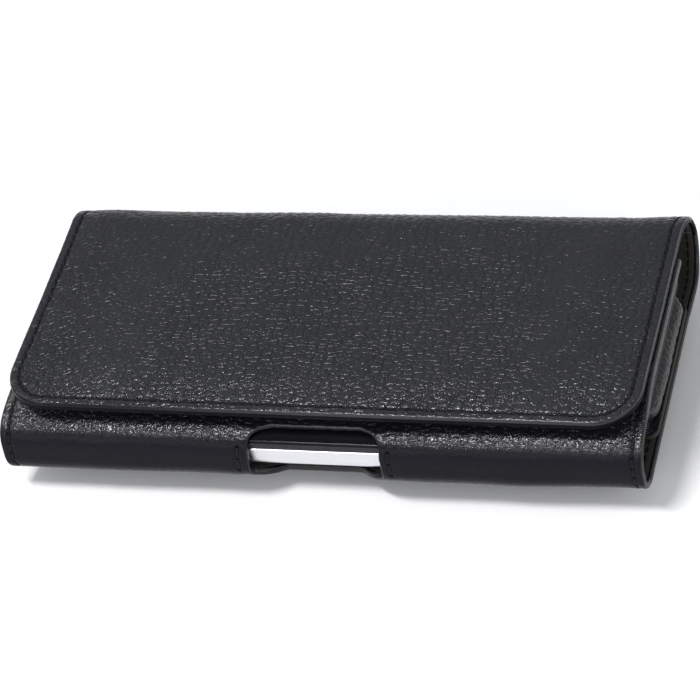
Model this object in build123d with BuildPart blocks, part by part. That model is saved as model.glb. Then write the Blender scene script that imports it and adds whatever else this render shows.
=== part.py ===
from build123d import *
import math
import os

# A leather belt pouch for a handset, lying on its back with the flap closed.
# +X runs along the pouch, +Y from the bottom fold to the spine, +Z out through the flap.
# Sections are drawn with their origin at the bottom fold and the back's outer face, and
# are moved into the pouch's frame by fold_y and back_z.

# Driving dimensions, in millimetres
pocket_width = 137.0
flap_width = 136.0
case_height = 65.5  # bottom fold to spine, along Y
case_depth = 18.8  # back's outer face to flap's outer face
leather = 1.3
lining = 1.05
board = 0.5  # stiffener thickness, recessed into the lining
flap_gap = 0.35  # between the front panel and the closed flap
hinge_gap = 0.15  # from each end face to the bend's axis plane

flap_tip = 3.0  # distance of the flap's lower edge from the bottom fold
flap_corner = 9.4
mouth = 50.6  # distance of the front panel's upper edge from the bottom fold
back_fold = 5.0  # outer radius between back and bottom
front_fold = 6.2  # outer radius between bottom and front
front_knee = 17.0  # where the front panel stops sloping
front_slope = 15.0  # degrees

notch_width = 27.5
notch_front = 4.9  # height of the finger notch on the front
notch_back = 3.1  # height of the finger notch on the back
notch_front_corner = 4.5
notch_back_corner = 2.6
notch_split = 6.0  # depth at which the two notch outlines meet

gusset = 1.3
flange = 4.5  # width of a gusset's turned-out flange
gusset_front_foot = 10.7  # lower end of the gusset at the front panel
gusset_back_foot = 16.1  # lower end of the gusset at the back panel
gusset_inset = 0.3  # from the pocket's side edge to the flange's edge

loop_width = 60.0
loop_leather = 1.8
belt_room = 4.6  # clear depth under the belt loop
loop_foot = 5.0
loop_ramp = 3.0
loop_low = 9.5  # lower end of the belt loop, from the bottom fold
loop_high = 55.5

board_margin = 6.5  # from a panel's side edges to its stiffener
back_board_span = (12.0, 48.0)
front_board_span = (20.0, 47.0)
flap_board_span = (10.0, 52.0)

magnet_radius = 5.0
magnet_height = 0.8
keeper_size = (18.0, 12.0, 0.5)
closure_x = 40.0
closure_y = 26.0  # distance of the magnets from the bottom fold
fit = 0.2  # clearance around magnets and keeper plates

handset_length = 122.0
handset_width = 54.0
handset_low = 3.6  # distance of the handset's lower edge from the bottom fold
handset_back = 2.6  # distance of the handset's back from the back's outer face
shell_depth = 5.5
bezel_depth = 1.2
glass_depth = 0.6
handset_corner = 8.0
handset_edge = 2.4
bezel_inset = 0.2
glass_edge = 0.5

pitch = 2.35  # from stitch to stitch
stitch_length = 1.7
stitch_width = 0.5
stitch_height = 0.25
stitch_margin = 2.0

# Derived values
wall = leather + lining
spine_radius = case_depth / 2
spine_y = case_height - spine_radius
front_top = case_depth - wall - flap_gap
slope = math.radians(front_slope)
front_fold_z = (
    front_top - (front_knee - front_fold) * math.tan(slope) - front_fold / math.cos(slope)
)
fold_y = (stitch_height - case_height) / 2  # the notch stitches stand out past the fold
back_z = loop_leather + belt_room



def level(height):
    """A plane at a height above the back's outer face, with its origin at the bottom fold."""
    return Plane(origin=(0, fold_y, back_z + height), x_dir=(1, 0, 0), z_dir=(0, 0, 1))


def section(x):
    """A plane across the pouch at x, drawn with Y and Z from the fold and the back."""
    return Plane(origin=(x, fold_y, back_z), x_dir=(0, 1, 0), z_dir=(1, 0, 0))


def spine_arc(depth, start, turn):
    """A stretch of the spine's round section, at a depth under the outer face."""
    return CenterArc((spine_y, spine_radius), spine_radius - depth, start, turn)


def gap_turn(depth):
    """The angle that the hinge gap takes at a depth under the spine's outer face."""
    return math.degrees(hinge_gap / (spine_radius - depth))


def wrap_path(depth):
    """The pocket's section line from the spine round the bottom to the mouth."""
    bend = spine_arc(depth, -45 - gap_turn(depth), gap_turn(depth) - 45)
    back_corner = CenterArc((back_fold, back_fold), back_fold - depth, -90, -90)
    front_corner = CenterArc((front_fold, front_fold_z), front_fold - depth, 180, front_slope - 90)
    knee = (front_knee + depth * math.tan(slope / 2), front_top - depth)
    Line(bend @ 1, back_corner @ 0)
    Line(back_corner @ 1, front_corner @ 0)
    Line(front_corner @ 1, knee)
    rim = Line(knee, (mouth, front_top - depth))
    return bend @ 0, rim @ 1


def wrap_section(near, far):
    """A layer of the pocket between two depths under its outer face."""
    with BuildSketch(section(-pocket_width / 2)) as layer:
        with BuildLine():
            outer_start, outer_end = wrap_path(near)
            inner_start, inner_end = wrap_path(far)
            Line(outer_start, inner_start)
            Line(outer_end, inner_end)
        make_face()
    return layer.sketch


def bend_section(near, far, start, end):
    """A layer of the spine's bend between two depths, less the hinge gap at the angles given
    as a base and a number of gaps."""
    with BuildSketch(section(-flap_width / 2)) as layer:
        with BuildLine():
            ends = []
            for depth in (near, far):
                first = start[0] + start[1] * gap_turn(depth)
                last = end[0] + end[1] * gap_turn(depth)
                ends.append(spine_arc(depth, first, last - first))
            Line(ends[0] @ 0, ends[1] @ 0)
            Line(ends[0] @ 1, ends[1] @ 1)
        make_face()
    return layer.sketch


def cut_notch():
    """The finger notch, deeper on the front than on the back."""
    for height, corner, low, high in (
        (notch_back, notch_back_corner, -case_depth, notch_split),
        (notch_front, notch_front_corner, notch_split, case_depth),
    ):
        with BuildSketch(level(low)) as opening:
            Rectangle(notch_width, 2 * height)
            fillet(opening.vertices().group_by(Axis.Y)[-1], corner)
        extrude(opening.sketch, amount=high - low, mode=Mode.SUBTRACT)


# Pocket leather: back, bottom and front in one wrap, with the first part of the spine's bend
with BuildPart() as pocket_leather:
    extrude(wrap_section(0, leather), amount=pocket_width)
    cut_notch()

# Stiffener boards of the back and front panels
board_width = pocket_width - 2 * board_margin
back_board_z = leather
front_board_z = front_top - leather - board

with BuildPart() as back_board:
    with BuildSketch(level(back_board_z)):
        with Locations((0, sum(back_board_span) / 2)):
            Rectangle(board_width, back_board_span[1] - back_board_span[0])
    extrude(amount=board)

with BuildPart() as front_board:
    with BuildSketch(level(front_board_z)):
        with Locations((0, sum(front_board_span) / 2)):
            Rectangle(board_width, front_board_span[1] - front_board_span[0])
        with Locations((-closure_x, closure_y), (closure_x, closure_y)):
            Rectangle(keeper_size[0] + 2 * fit, keeper_size[1] + 2 * fit, mode=Mode.SUBTRACT)
    extrude(amount=board)

# Pocket lining, recessed for the boards
with BuildPart() as pocket_lining:
    extrude(wrap_section(leather, wall), amount=pocket_width)
    for height, span in ((back_board_z, back_board_span), (front_board_z, front_board_span)):
        with BuildSketch(level(height)):
            with Locations((0, sum(span) / 2)):
                Rectangle(board_width, span[1] - span[0])
        extrude(amount=board, mode=Mode.SUBTRACT)
    cut_notch()


def keeper_plate(side):
    """A steel plate behind the front leather that a flap magnet pulls on."""
    with BuildPart() as keeper:
        with BuildSketch(level(front_board_z)):
            with Locations((side * closure_x, closure_y)):
                Rectangle(keeper_size[0], keeper_size[1])
        extrude(amount=keeper_size[2])
    return keeper


# Gussets: a web across the pocket's depth with a flange turned out along each panel
web_x = pocket_width / 2 - gusset_inset - flange
front_inner = front_top - wall
knee_inner = front_knee + wall * math.tan(slope / 2)
foot_drop = (knee_inner - gusset_front_foot) * math.tan(slope)


def make_gusset(side):
    """One end's gusset, with its slanted lower edge."""
    front_foot = (gusset_front_foot, front_inner - foot_drop)
    with BuildPart() as part:
        with BuildSketch(section(side * web_x)):
            with BuildLine():
                Polyline(
                    (mouth, wall),
                    (mouth, front_inner),
                    (knee_inner, front_inner),
                    front_foot,
                    (gusset_back_foot, wall),
                    close=True,
                )
            make_face()
        extrude(amount=-side * gusset)
        with BuildSketch(section(side * web_x)):
            with BuildLine():
                Polyline(
                    (mouth, front_inner),
                    (knee_inner, front_inner),
                    front_foot,
                    (gusset_front_foot, front_foot[1] - gusset),
                    (knee_inner, front_inner - gusset),
                    (mouth, front_inner - gusset),
                    close=True,
                )
            make_face()
            with BuildLine():
                Polyline(
                    (mouth, wall),
                    (mouth, wall + gusset),
                    (gusset_back_foot, wall + gusset),
                    (gusset_back_foot, wall),
                    close=True,
                )
            make_face()
        extrude(amount=side * flange)
    return part


# Belt loop: a strap sewn to the back at both feet, standing off to let a belt through
with BuildPart() as belt_loop:
    with BuildSketch(section(-loop_width / 2)):
        with BuildLine():
            Polyline(
                (loop_low, 0),
                (loop_low + loop_foot, 0),
                (loop_low + loop_foot + loop_ramp, -belt_room),
                (loop_high - loop_foot - loop_ramp, -belt_room),
                (loop_high - loop_foot, 0),
                (loop_high, 0),
                (loop_high, -loop_leather),
                (loop_high - loop_foot + loop_ramp / 2, -loop_leather),
                (loop_high - loop_foot - loop_ramp / 2, -belt_room - loop_leather),
                (loop_low + loop_foot + loop_ramp / 2, -belt_room - loop_leather),
                (loop_low + loop_foot - loop_ramp / 2, -loop_leather),
                (loop_low, -loop_leather),
                close=True,
            )
        make_face()
    extrude(amount=loop_width)

# Spine: the middle quarter turn of the bend between the back and the flap
with BuildPart() as spine_leather:
    extrude(bend_section(0, leather, (-45, 1), (45, -1)), amount=flap_width)

with BuildPart() as spine_lining:
    extrude(bend_section(leather, wall, (-45, 1), (45, -1)), amount=flap_width)


def flap_layer(near, far):
    """A layer of the flap between two depths: its flat part and its eighth of the bend."""
    with BuildSketch(level(case_depth - far)) as panel:
        with Locations((0, (flap_tip + spine_y) / 2)):
            Rectangle(flap_width, spine_y - flap_tip)
        fillet(panel.vertices().group_by(Axis.Y)[0], flap_corner)
    extrude(panel.sketch, amount=far - near)
    extrude(bend_section(near, far, (45, 1), (90, 0)), amount=flap_width)


with BuildPart() as flap_leather:
    flap_layer(0, leather)

# Flap stiffener and magnets, recessed into the flap's lining
flap_board_z = case_depth - leather - board
magnet_z = case_depth - leather - magnet_height

with BuildPart() as flap_board:
    with BuildSketch(level(flap_board_z)):
        with Locations((0, sum(flap_board_span) / 2)):
            Rectangle(board_width, flap_board_span[1] - flap_board_span[0])
        with Locations((-closure_x, closure_y), (closure_x, closure_y)):
            Circle(magnet_radius + fit, mode=Mode.SUBTRACT)
    extrude(amount=board)

with BuildPart() as flap_lining:
    flap_layer(leather, wall)
    with BuildSketch(level(flap_board_z)):
        with Locations((0, sum(flap_board_span) / 2)):
            Rectangle(board_width, flap_board_span[1] - flap_board_span[0])
    extrude(amount=board, mode=Mode.SUBTRACT)
    with BuildSketch(level(magnet_z)):
        with Locations((-closure_x, closure_y), (closure_x, closure_y)):
            Circle(magnet_radius + fit)
    extrude(amount=magnet_height, mode=Mode.SUBTRACT)


def flap_magnet(side):
    """A disc magnet hidden between the flap's leather and lining."""
    with BuildPart() as magnet:
        with BuildSketch(level(magnet_z)):
            with Locations((side * closure_x, closure_y)):
                Circle(magnet_radius)
        extrude(amount=magnet_height)
    return magnet


# Handset: a metal shell, a bezel and a glass, all on one rounded outline
def handset_outline(inset):
    """The handset's outline on the active sketch plane."""
    with Locations((0, handset_low + handset_width / 2)):
        RectangleRounded(
            handset_length - 2 * inset, handset_width - 2 * inset, handset_corner - inset
        )


with BuildPart() as handset_shell:
    with BuildSketch(level(handset_back)):
        handset_outline(0)
    extrude(amount=shell_depth)
    fillet(faces().sort_by(Axis.Z)[0].edges(), handset_edge)

with BuildPart() as handset_bezel:
    with BuildSketch(level(handset_back + shell_depth)):
        handset_outline(bezel_inset)
    extrude(amount=bezel_depth)

with BuildPart() as handset_glass:
    with BuildSketch(level(handset_back + shell_depth + bezel_depth)):
        handset_outline(bezel_inset + glass_edge)
    extrude(amount=glass_depth)
    fillet(faces().sort_by(Axis.Z)[-1].edges(), glass_edge)


# Thread: each stitch is a short flat bar lying on the leather
def stitches_along_x(xs, y, face, outward):
    """A row of stitches along X on a level face."""
    for x in xs:
        with Locations(Location((x, y + fold_y, face + back_z))):
            Box(
                stitch_length,
                stitch_width,
                stitch_height,
                align=(Align.CENTER, Align.CENTER, Align.MIN if outward > 0 else Align.MAX),
            )


def stitches_along_y(x, ys, face, outward):
    """A row of stitches along Y on a level face."""
    for y in ys:
        with Locations(Location((x, y + fold_y, face + back_z))):
            Box(
                stitch_width,
                stitch_length,
                stitch_height,
                align=(Align.CENTER, Align.CENTER, Align.MIN if outward > 0 else Align.MAX),
            )


def steps(low, high):
    """Evenly spaced stitch centres, about one pitch apart, between two limits."""
    count = round((high - low) / pitch)
    return [low + (high - low) * i / count for i in range(count + 1)]


row_x = flap_width / 2 - stitch_margin
row_y = flap_tip + stitch_margin
turn_radius = flap_corner - stitch_margin

with BuildPart() as flap_thread:
    stitches_along_x(steps(turn_radius - row_x, row_x - turn_radius), row_y, case_depth, 1)
    for side in (-1, 1):
        stitches_along_y(side * row_x, steps(row_y + turn_radius, spine_y), case_depth, 1)
        turns = round(turn_radius * math.pi / 2 / pitch)
        for i in range(1, turns):
            angle = i / turns * math.pi / 2
            at = (
                side * (row_x - turn_radius + turn_radius * math.sin(angle)),
                row_y + turn_radius - turn_radius * math.cos(angle) + fold_y,
                case_depth + back_z,
            )
            with Locations(Location(at, (0, 0, side * math.degrees(angle)))):
                Box(
                    stitch_length,
                    stitch_width,
                    stitch_height,
                    align=(Align.CENTER, Align.CENTER, Align.MIN),
                )


def side_thread(side):
    """The two rows that sew one gusset to the front and back panels."""
    x = side * (pocket_width / 2 - stitch_margin)
    with BuildPart() as thread:
        stitches_along_y(x, steps(front_knee + pitch, mouth - pitch), front_top, 1)
        stitches_along_y(x, steps(gusset_back_foot + pitch, mouth - pitch), 0, -1)
    return thread


with BuildPart() as notch_thread:
    for side in (-1, 1):
        x = side * (notch_width / 2 + stitch_margin)
        for z in steps(back_fold, front_fold_z):
            with Locations(Location((x, fold_y, z + back_z))):
                Box(
                    stitch_width,
                    stitch_height,
                    stitch_length,
                    align=(Align.CENTER, Align.MAX, Align.CENTER),
                )

with BuildPart() as belt_loop_thread:
    loop_xs = steps(stitch_margin - loop_width / 2, loop_width / 2 - stitch_margin)
    foot_middle = (loop_foot - loop_ramp / 2) / 2
    for y in (loop_low + foot_middle, loop_high - foot_middle):
        stitches_along_x(loop_xs, y, -loop_leather, -1)

# Write one file for each sub-part
pieces = {
    "pocket_leather": pocket_leather,
    "pocket_lining": pocket_lining,
    "back_board": back_board,
    "front_board": front_board,
    "keeper_plate_left": keeper_plate(-1),
    "keeper_plate_right": keeper_plate(1),
    "gusset_left": make_gusset(-1),
    "gusset_right": make_gusset(1),
    "belt_loop": belt_loop,
    "spine_leather": spine_leather,
    "spine_lining": spine_lining,
    "flap_leather": flap_leather,
    "flap_lining": flap_lining,
    "flap_board": flap_board,
    "flap_magnet_left": flap_magnet(-1),
    "flap_magnet_right": flap_magnet(1),
    "handset_shell": handset_shell,
    "handset_bezel": handset_bezel,
    "handset_glass": handset_glass,
    "flap_thread": flap_thread,
    "side_thread_left": side_thread(-1),
    "side_thread_right": side_thread(1),
    "notch_thread": notch_thread,
    "belt_loop_thread": belt_loop_thread,
}
os.makedirs("parts", exist_ok=True)
for name, piece in pieces.items():
    piece.part.label = name
    export_step(piece.part, f"parts/{name}.step")
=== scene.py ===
import math

import bpy
import numpy as np
from mathutils import Matrix, Vector
from mathutils.kdtree import KDTree


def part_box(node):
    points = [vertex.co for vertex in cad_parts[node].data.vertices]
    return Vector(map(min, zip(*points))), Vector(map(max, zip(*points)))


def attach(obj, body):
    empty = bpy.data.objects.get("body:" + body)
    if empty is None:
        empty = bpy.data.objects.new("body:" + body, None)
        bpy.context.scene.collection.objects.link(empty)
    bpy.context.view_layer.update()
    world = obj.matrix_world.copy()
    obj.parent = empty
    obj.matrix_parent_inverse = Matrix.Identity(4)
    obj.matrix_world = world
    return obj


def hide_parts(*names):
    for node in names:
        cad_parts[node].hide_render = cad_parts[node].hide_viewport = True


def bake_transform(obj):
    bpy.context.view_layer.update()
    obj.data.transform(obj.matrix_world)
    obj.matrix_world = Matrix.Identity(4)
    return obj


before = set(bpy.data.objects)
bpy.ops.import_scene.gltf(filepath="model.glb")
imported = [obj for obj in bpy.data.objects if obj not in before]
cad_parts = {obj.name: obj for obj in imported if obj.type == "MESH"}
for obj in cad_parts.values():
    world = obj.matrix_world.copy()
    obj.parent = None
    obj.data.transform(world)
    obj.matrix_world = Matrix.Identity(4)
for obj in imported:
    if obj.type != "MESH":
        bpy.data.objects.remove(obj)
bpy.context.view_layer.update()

# ---- sizes
# Lengths are in millimetres in the section frame, whose origin is at the bottom fold and the
# back's outer face. row() turns them into metres in the row frame.
MM = 0.001
pocket_low, pocket_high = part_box("pocket_leather")
flap_low, flap_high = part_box("flap_leather")
loop_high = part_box("belt_loop")[1]
gusset_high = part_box("gusset_right")[1]
magnet_low, magnet_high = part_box("flap_magnet_right")
origin = np.array([0.0, pocket_low.y, pocket_low.z])


def section_y(y):
    return (y - pocket_low.y) / MM


half_pocket = pocket_high.x / MM
half_flap = flap_high.x / MM
half_loop = loop_high.x / MM
depth = (flap_high.z - pocket_low.z) / MM
front_top = (pocket_high.z - pocket_low.z) / MM
flap_tip = section_y(flap_low.y)
spine_r = depth / 2
spine_y = section_y(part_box("spine_leather")[1].y) - spine_r
mouth = section_y(gusset_high.y)
magnet_x = (magnet_low.x + magnet_high.x) / 2 / MM
magnet_y = section_y((magnet_low.y + magnet_high.y) / 2)
leather = 1.3
wall = 2.35  # leather, board and lining together
skive = 0.95  # how much thinner the wall is at the open ends
skive_zone = (59, 66)  # distances from the middle over which it thins, on the wrap
fold_skive = 0.85  # how much thinner the wall is round the folds
lining_thickness = 0.22
lining_inset = 0.85  # from the leather's edges
under_inset = 1.0  # of the leather's under face, inside its rim
slope = math.radians(15.0)  # of the front panel above the bottom fold
knee = 17.0  # where the slope ends
front_fold = 6.2  # radius
flap_corner = 9.4  # radius
notch_half = 13.75
pitch = 2.35  # of the stitches
seam_margin = 2.0
seam_dip = 0.42  # half width of the dip along a seam
mean_dome = 0.09  # mean height of the grain's domes
away = 9.0  # stands for a distance at which a seam has no effect


def row(points):
    """Section millimetres (x, y, z) to row-frame metres."""
    return np.asarray(points, float) * MM + origin


def fade(value, low, high):
    """A smooth step from 0 at low to 1 at high."""
    t = np.clip((np.asarray(value, float) - low) / (high - low), 0, 1)
    return t * t * (3 - 2 * t)


# ---- camera, lights, floor
def studio():
    scene = bpy.context.scene
    scene.view_settings.view_transform = "Standard"
    azimuth, elevation, roll = math.radians(26.9), math.radians(45.15), math.radians(-18.1)
    aim = Vector((0.0053, -0.0125, flap_high.z + 0.0002))
    distance = 0.654
    back = Vector((
        math.sin(azimuth) * math.cos(elevation),
        -math.cos(azimuth) * math.cos(elevation),
        math.sin(elevation),
    ))
    right = Vector((0, 0, 1)).cross(back).normalized()
    up = back.cross(right)
    turned = Matrix((right, up, back)).transposed().to_4x4() @ Matrix.Rotation(roll, 4, "Z")
    camera = bpy.data.objects.new("camera", bpy.data.cameras.new("camera"))
    camera.data.sensor_width = 36.0
    camera.data.lens = 164.34
    camera.data.clip_start = 0.02
    camera.matrix_world = Matrix.Translation(aim + back * distance) @ turned
    scene.collection.objects.link(camera)
    scene.camera = camera

    world = bpy.data.worlds.new("studio")
    world.use_nodes = True
    background = world.node_tree.nodes["Background"]
    background.inputs["Color"].default_value = (0.93, 0.95, 1.0, 1.0)
    background.inputs["Strength"].default_value = 0.5
    scene.world = world

    def area(name, direction, gap, size, power, colour=(1.0, 1.0, 1.0)):
        lamp = bpy.data.lights.new(name, "AREA")
        lamp.shape = "RECTANGLE"
        lamp.size, lamp.size_y = size
        lamp.energy = power
        lamp.color = colour
        holder = bpy.data.objects.new(name, lamp)
        toward = Vector(direction).normalized()
        holder.location = toward * gap
        holder.rotation_mode = "QUATERNION"
        holder.rotation_quaternion = toward.to_track_quat("Z", "Y")
        scene.collection.objects.link(holder)

    area("key", (-0.2, -0.27, 0.94), 0.8, (0.26, 0.08), 4.4)
    area("front", (-0.3, -0.8, 0.4), 0.8, (0.5, 0.3), 1.2)
    area("side", (0.8, -0.42, 0.5), 0.8, (0.4, 0.3), 1.2)

    mesh = bpy.data.meshes.new("floor")
    reach = 4.0
    mesh.from_pydata(
        [(-reach, -reach, 0), (reach, -reach, 0), (reach, reach, 0), (-reach, reach, 0)],
        [], [(0, 1, 2, 3)],
    )
    floor = bpy.data.objects.new("floor", mesh)
    scene.collection.objects.link(floor)
    paper = Finish("floor_paper")
    paper.set("Base Color", (0.92, 0.92, 0.92, 1.0))
    paper.set("Roughness", 0.9)
    floor.data.materials.append(paper.material)


# ---- nodes
class Nodes:
    """A node tree, of a material or of geometry nodes, with short ways to add and join nodes."""

    def __init__(self, tree):
        self.tree = tree

    def put(self, socket, value):
        if isinstance(value, bpy.types.NodeSocket):
            self.tree.links.new(value, socket)
        else:
            socket.default_value = value

    def add(self, kind, inputs=None, **settings):
        node = self.tree.nodes.new(kind)
        for key, value in settings.items():
            setattr(node, key, value)
        for key, value in (inputs or {}).items():
            self.put(node.inputs[key], value)
        return node

    def math(self, operation, a, b=0.0):
        return self.add("ShaderNodeMath", {0: a, 1: b}, operation=operation).outputs[0]

    def total(self, result, *terms):
        for term in terms:
            result = self.math("ADD", result, term)
        return result

    def times(self, result, *factors):
        for factor in factors:
            result = self.math("MULTIPLY", result, factor)
        return result

    def vector(self, operation, a, b):
        """Vector arithmetic. SCALE takes a number for b."""
        key = "Scale" if operation == "SCALE" else 1
        return self.add("ShaderNodeVectorMath", {0: a, key: b}, operation=operation).outputs[0]

    def axes(self, vector):
        return self.add("ShaderNodeSeparateXYZ", {0: vector}).outputs

    def ramp(self, value, low, high, out_low=0.0, out_high=1.0):
        """A smooth ramp from out_low where value is low to out_high where it is high."""
        node = self.add(
            "ShaderNodeMapRange",
            {0: value, 1: low, 2: high, 3: out_low, 4: out_high},
            interpolation_type="SMOOTHSTEP",
        )
        return node.outputs[0]

    def mix(self, factor, a, b):
        """A mix of two colours, or of two numbers."""
        colour = isinstance(a, tuple) or getattr(a, "type", "") == "RGBA"
        node = self.add("ShaderNodeMix", data_type="RGBA" if colour else "FLOAT")
        first = 6 if colour else 2
        self.put(node.inputs[0], factor)
        self.put(node.inputs[first], a)
        self.put(node.inputs[first + 1], b)
        return node.outputs[2 if colour else 0]

    def noise(self, vector, scale, detail=2.0, rough=0.5, output="Fac"):
        node = self.add(
            "ShaderNodeTexNoise",
            {"Vector": vector, "Scale": scale, "Detail": detail, "Roughness": rough},
        )
        return node.outputs[output]

    def cells(self, vector, turn, size):
        """Distance to the nearest edge of irregular cells of a mean size, in cell widths."""
        turned = self.add(
            "ShaderNodeVectorRotate", {"Vector": vector, "Angle": turn}, rotation_type="Z_AXIS",
        ).outputs[0]
        scaled = self.vector("MULTIPLY", turned, (1 / size[0], 1 / size[1], 0.0))
        voronoi = self.add(
            "ShaderNodeTexVoronoi", {"Vector": scaled, "Scale": 1.0, "Randomness": 0.85},
            feature="DISTANCE_TO_EDGE", voronoi_dimensions="2D",
        )
        return voronoi.outputs["Distance"]


class Finish(Nodes):
    """A material with a Principled shader."""

    def __init__(self, name):
        self.material = bpy.data.materials.new(name)
        self.material.use_nodes = True
        super().__init__(self.material.node_tree)
        self.shader = self.tree.nodes["Principled BSDF"]

    def set(self, name, value):
        self.put(self.shader.inputs[name], value)

    def attribute(self, name, output="Fac"):
        return self.add("ShaderNodeAttribute", attribute_name=name).outputs[output]

    def flat(self):
        return self.attribute("flat", "Vector")

    def bump(self, height):
        """Bump from a height in millimetres."""
        node = self.add("ShaderNodeBump", {"Strength": 1.0, "Distance": MM, "Height": height})
        self.set("Normal", node.outputs[0])


# ---- leather grain
def bent_by_noise(n, vector, flat, scale, detail, reach):
    """vector moved about by a noise over flat, by at most half of reach each way."""
    shift = n.vector("SUBTRACT", n.noise(flat, scale, detail, output="Color"), (0.5, 0.5, 0.5))
    return n.vector("ADD", vector, n.vector("SCALE", shift, reach))


def pebbles(n, flat):
    """The hide's large cells over its flat millimetres: distance to the nearest crease, and the
    bent places it was taken at. The cells are long and slanted near the left end, round near
    the right, and lie along X between."""
    bent = bent_by_noise(n, flat, flat, 0.17, 1.5, 3.0)
    bent = bent_by_noise(n, bent, flat, 1.0, 1.0, 0.9)
    x = n.axes(flat)[0]
    along = n.cells(bent, 0.08, (2.2, 1.25))
    slanted = n.cells(bent, -0.8, (2.5, 1.1))
    even = n.cells(bent, 0.5, (1.75, 1.5))
    left = n.mix(n.ramp(x, -60.0, -34.0, 1.0, 0.0), along, slanted)
    return n.mix(n.ramp(x, 36.0, 58.0), left, even), bent


def grain_heights(flat):
    """The height of the grain's domes at points of the flat hide, in millimetres. It comes from
    the nodes that the leather's material uses, so that shape and material agree."""
    tree = bpy.data.node_groups.new("grain", "GeometryNodeTree")
    tree.interface.new_socket("Geometry", in_out="INPUT", socket_type="NodeSocketGeometry")
    tree.interface.new_socket("Geometry", in_out="OUTPUT", socket_type="NodeSocketGeometry")
    n = Nodes(tree)
    given = n.add("NodeGroupInput").outputs[0]
    big, _ = pebbles(n, n.add("GeometryNodeInputPosition").outputs[0])
    height = n.ramp(big, 0.0, 0.42, 0.0, 0.12)
    stored = n.add(
        "GeometryNodeStoreNamedAttribute", {"Geometry": given, "Name": "height", "Value": height},
        data_type="FLOAT", domain="POINT",
    )
    result = n.add("NodeGroupOutput")
    n.put(result.inputs[0], stored.outputs[0])
    mesh = bpy.data.meshes.new("grain")
    mesh.from_pydata(np.pad(flat, ((0, 0), (0, 1))).tolist(), [], [])
    holder = bpy.data.objects.new("grain", mesh)
    bpy.context.scene.collection.objects.link(holder)
    holder.modifiers.new("grain", "NODES").node_group = tree
    evaluated = holder.evaluated_get(bpy.context.evaluated_depsgraph_get())
    values = np.zeros(len(flat), np.float32)
    evaluated.data.attributes["height"].data.foreach_get("value", values)
    bpy.data.objects.remove(holder)
    bpy.data.meshes.remove(mesh)
    bpy.data.node_groups.remove(tree)
    return values


def leather_finish():
    """Pebbled leather: creases between the domes, smaller cells and pores on them, and pricked
    stitch holes along the seams. Painted shade darkens the colour in the creases and the holes."""
    n = Finish("pebbled_leather")
    flat = n.flat()
    big, bent = pebbles(n, flat)
    small = n.cells(bent, 0.3, (0.8, 0.6))
    pores = n.noise(flat, 3.6, 3.0, 0.6)
    patch = n.noise(flat, 0.055, 2.0)
    strong = n.ramp(n.noise(flat, 0.11, 1.0), 0.36, 0.62, 0.9, 1.1)
    crease = n.ramp(big, 0.0, 0.2)
    strength = n.attribute("grain")
    x, y, _ = n.axes(flat)
    # worn is 1 on the smooth bottom face, tip near the flap's end, and lively also on the wrap
    worn = n.times(n.ramp(y, *worn_top, 1.0, 0.0), n.ramp(y, *worn_foot))
    tip = n.ramp(y, 4.0 - flap_end, 17.0 - flap_end, 1.0, 0.0)
    flap_fade = (14.0 - flap_end, -16.0)
    drawn = n.vector("MULTIPLY", bent, (0.4, 1.0, 1.0))
    ridged = n.math("ABSOLUTE", n.math("SUBTRACT", n.noise(drawn, 0.75, 3.0, 0.6), 0.5))

    u, w, _ = n.axes(n.attribute("stitch", "Vector"))
    along = n.times(n.math("ABSOLUTE", n.math("SUBTRACT", n.math("FRACT", u), 0.5)), -pitch)
    near = n.total(along, pitch / 2)
    radius = n.math("SQRT", n.total(n.times(near, near), n.times(w, w)))
    hole = n.ramp(radius, 0.15, 0.45, 1.0, 0.0)

    lively = n.math("MAXIMUM", tip, n.ramp(y, -2.0, 2.0))
    leftward = n.times(n.ramp(x, -60.0, -30.0, 1.0, 0.0), n.total(n.times(tip, 0.4), 0.15))
    deep = n.times(n.ramp(y, *flap_fade, 0.088, 0.06), n.total(leftward, 1.0))
    cut = n.times(crease, strong, deep)
    wrinkle = n.times(n.ramp(ridged, 0.0, 0.13), lively, 0.022)
    fine = n.times(n.ramp(small, 0.0, 0.3), n.total(n.times(lively, 0.03), 0.012))
    fine = n.total(fine, n.times(pores, 0.03))
    height = n.times(n.total(cut, wrinkle, fine), strength)
    n.bump(n.total(height, n.times(hole, -0.3)))

    dark, light = (0.0095, 0.0099, 0.0132, 1), (0.0120, 0.0124, 0.0160, 1)
    tone = n.mix(n.ramp(patch, 0.35, 0.65), dark, light)
    tone = n.mix(worn, tone, (0.0105, 0.0105, 0.0140, 1))
    # painted shade: the base colour darkens towards near black in the creases and the stitch holes
    painted_shade = n.times(n.math("SUBTRACT", 1.0, crease), 0.3, strength)
    painted_shade = n.math("MAXIMUM", painted_shade, n.times(hole, 0.95))
    n.set("Base Color", n.mix(painted_shade, tone, (0.003, 0.003, 0.004, 1)))
    n.set("Roughness", n.total(n.ramp(lively, 0.0, 1.0, 0.31, 0.22), n.times(pores, 0.1), -0.05))
    flap_shine = n.ramp(tip, 0.0, 1.0, 0.51, 0.6)
    shine = n.ramp(worn, 0.0, 1.0, n.ramp(y, -2.0, 2.0, flap_shine, 0.57), 0.06)
    dim = n.ramp(y, *flap_fade, 0.35, 0.62)
    n.set("Specular IOR Level", n.times(shine, n.ramp(big, 0.0, 0.07, dim, 1.0)))
    return n.material


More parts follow.
